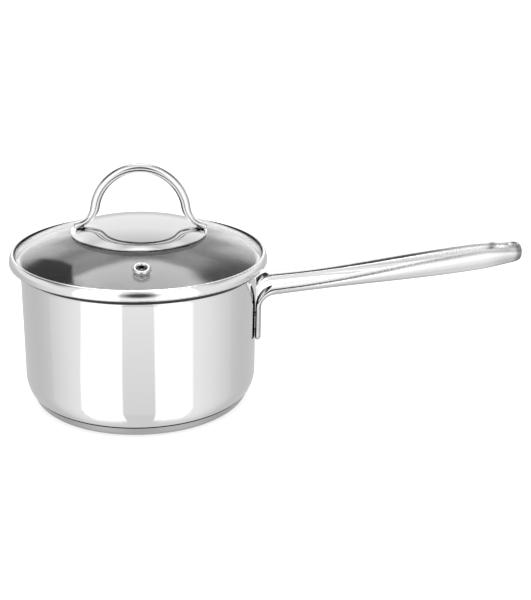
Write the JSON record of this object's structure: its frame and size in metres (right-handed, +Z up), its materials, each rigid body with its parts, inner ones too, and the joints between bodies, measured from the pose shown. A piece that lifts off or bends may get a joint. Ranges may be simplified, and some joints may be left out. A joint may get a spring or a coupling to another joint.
{
  "type": "saucepan with glass lid",
  "caption": "Small steel saucepan with an encapsulated base, a bent-rod long handle and a vented glass lid with an arched lifting handle.",
  "frame": {"origin": "on the pan's axis at the underside of its base", "axes": "+Z up along the pan's axis, +X towards the long handle, +Y to the side away from the steam vent as drawn"},
  "size_m": [0.3559, 0.1746, 0.1641],
  "materials": {
    "pan_steel": "mirror polished stainless steel outside, satin turned inside",
    "base_steel": "polished side, finely turned underside",
    "core_aluminium": "plain rolled",
    "handle_steel": "mirror polished drawn stainless rod",
    "weld_steel": "bare spot-weld metal",
    "lid_glass_clear": "clear tempered glass, polished",
    "band_steel": "mirror polished rolled stainless strip",
    "seal_silicone": "dark silicone, semi matt",
    "plate_steel": "polished pressed steel",
    "arch_steel": "mirror polished drawn stainless rod",
    "fastener_steel": "plain zinc-free stainless",
    "pad_silicone": "dark silicone, semi matt",
    "eyelet_steel": "polished rolled edge",
    "grommet_silicone": "translucent pale silicone"
  },
  "bodies": {
    "pan": {"pan_body": "pan_steel", "base_core": "core_aluminium", "base_cap": "base_steel", "long_handle": "handle_steel", "handle_welds": "weld_steel"},
    "lid": {"lid_glass": "lid_glass_clear", "lid_rim_band": "band_steel", "rim_seal": "seal_silicone", "knob_plate": "plate_steel", "knob_arch": "arch_steel", "arch_welds": "weld_steel", "knob_boss": "fastener_steel", "knob_pad": "pad_silicone", "knob_seal": "pad_silicone", "knob_washer": "fastener_steel", "knob_screw": "fastener_steel", "vent_eyelet": "eyelet_steel", "vent_grommet": "grommet_silicone"}
  },
  "joints": [
    {"name": "lid_lift", "type": "slide", "parent": "pan", "child": "lid", "axis": [0, 0, 1], "range_m": [0, 0.12]}
  ]
}
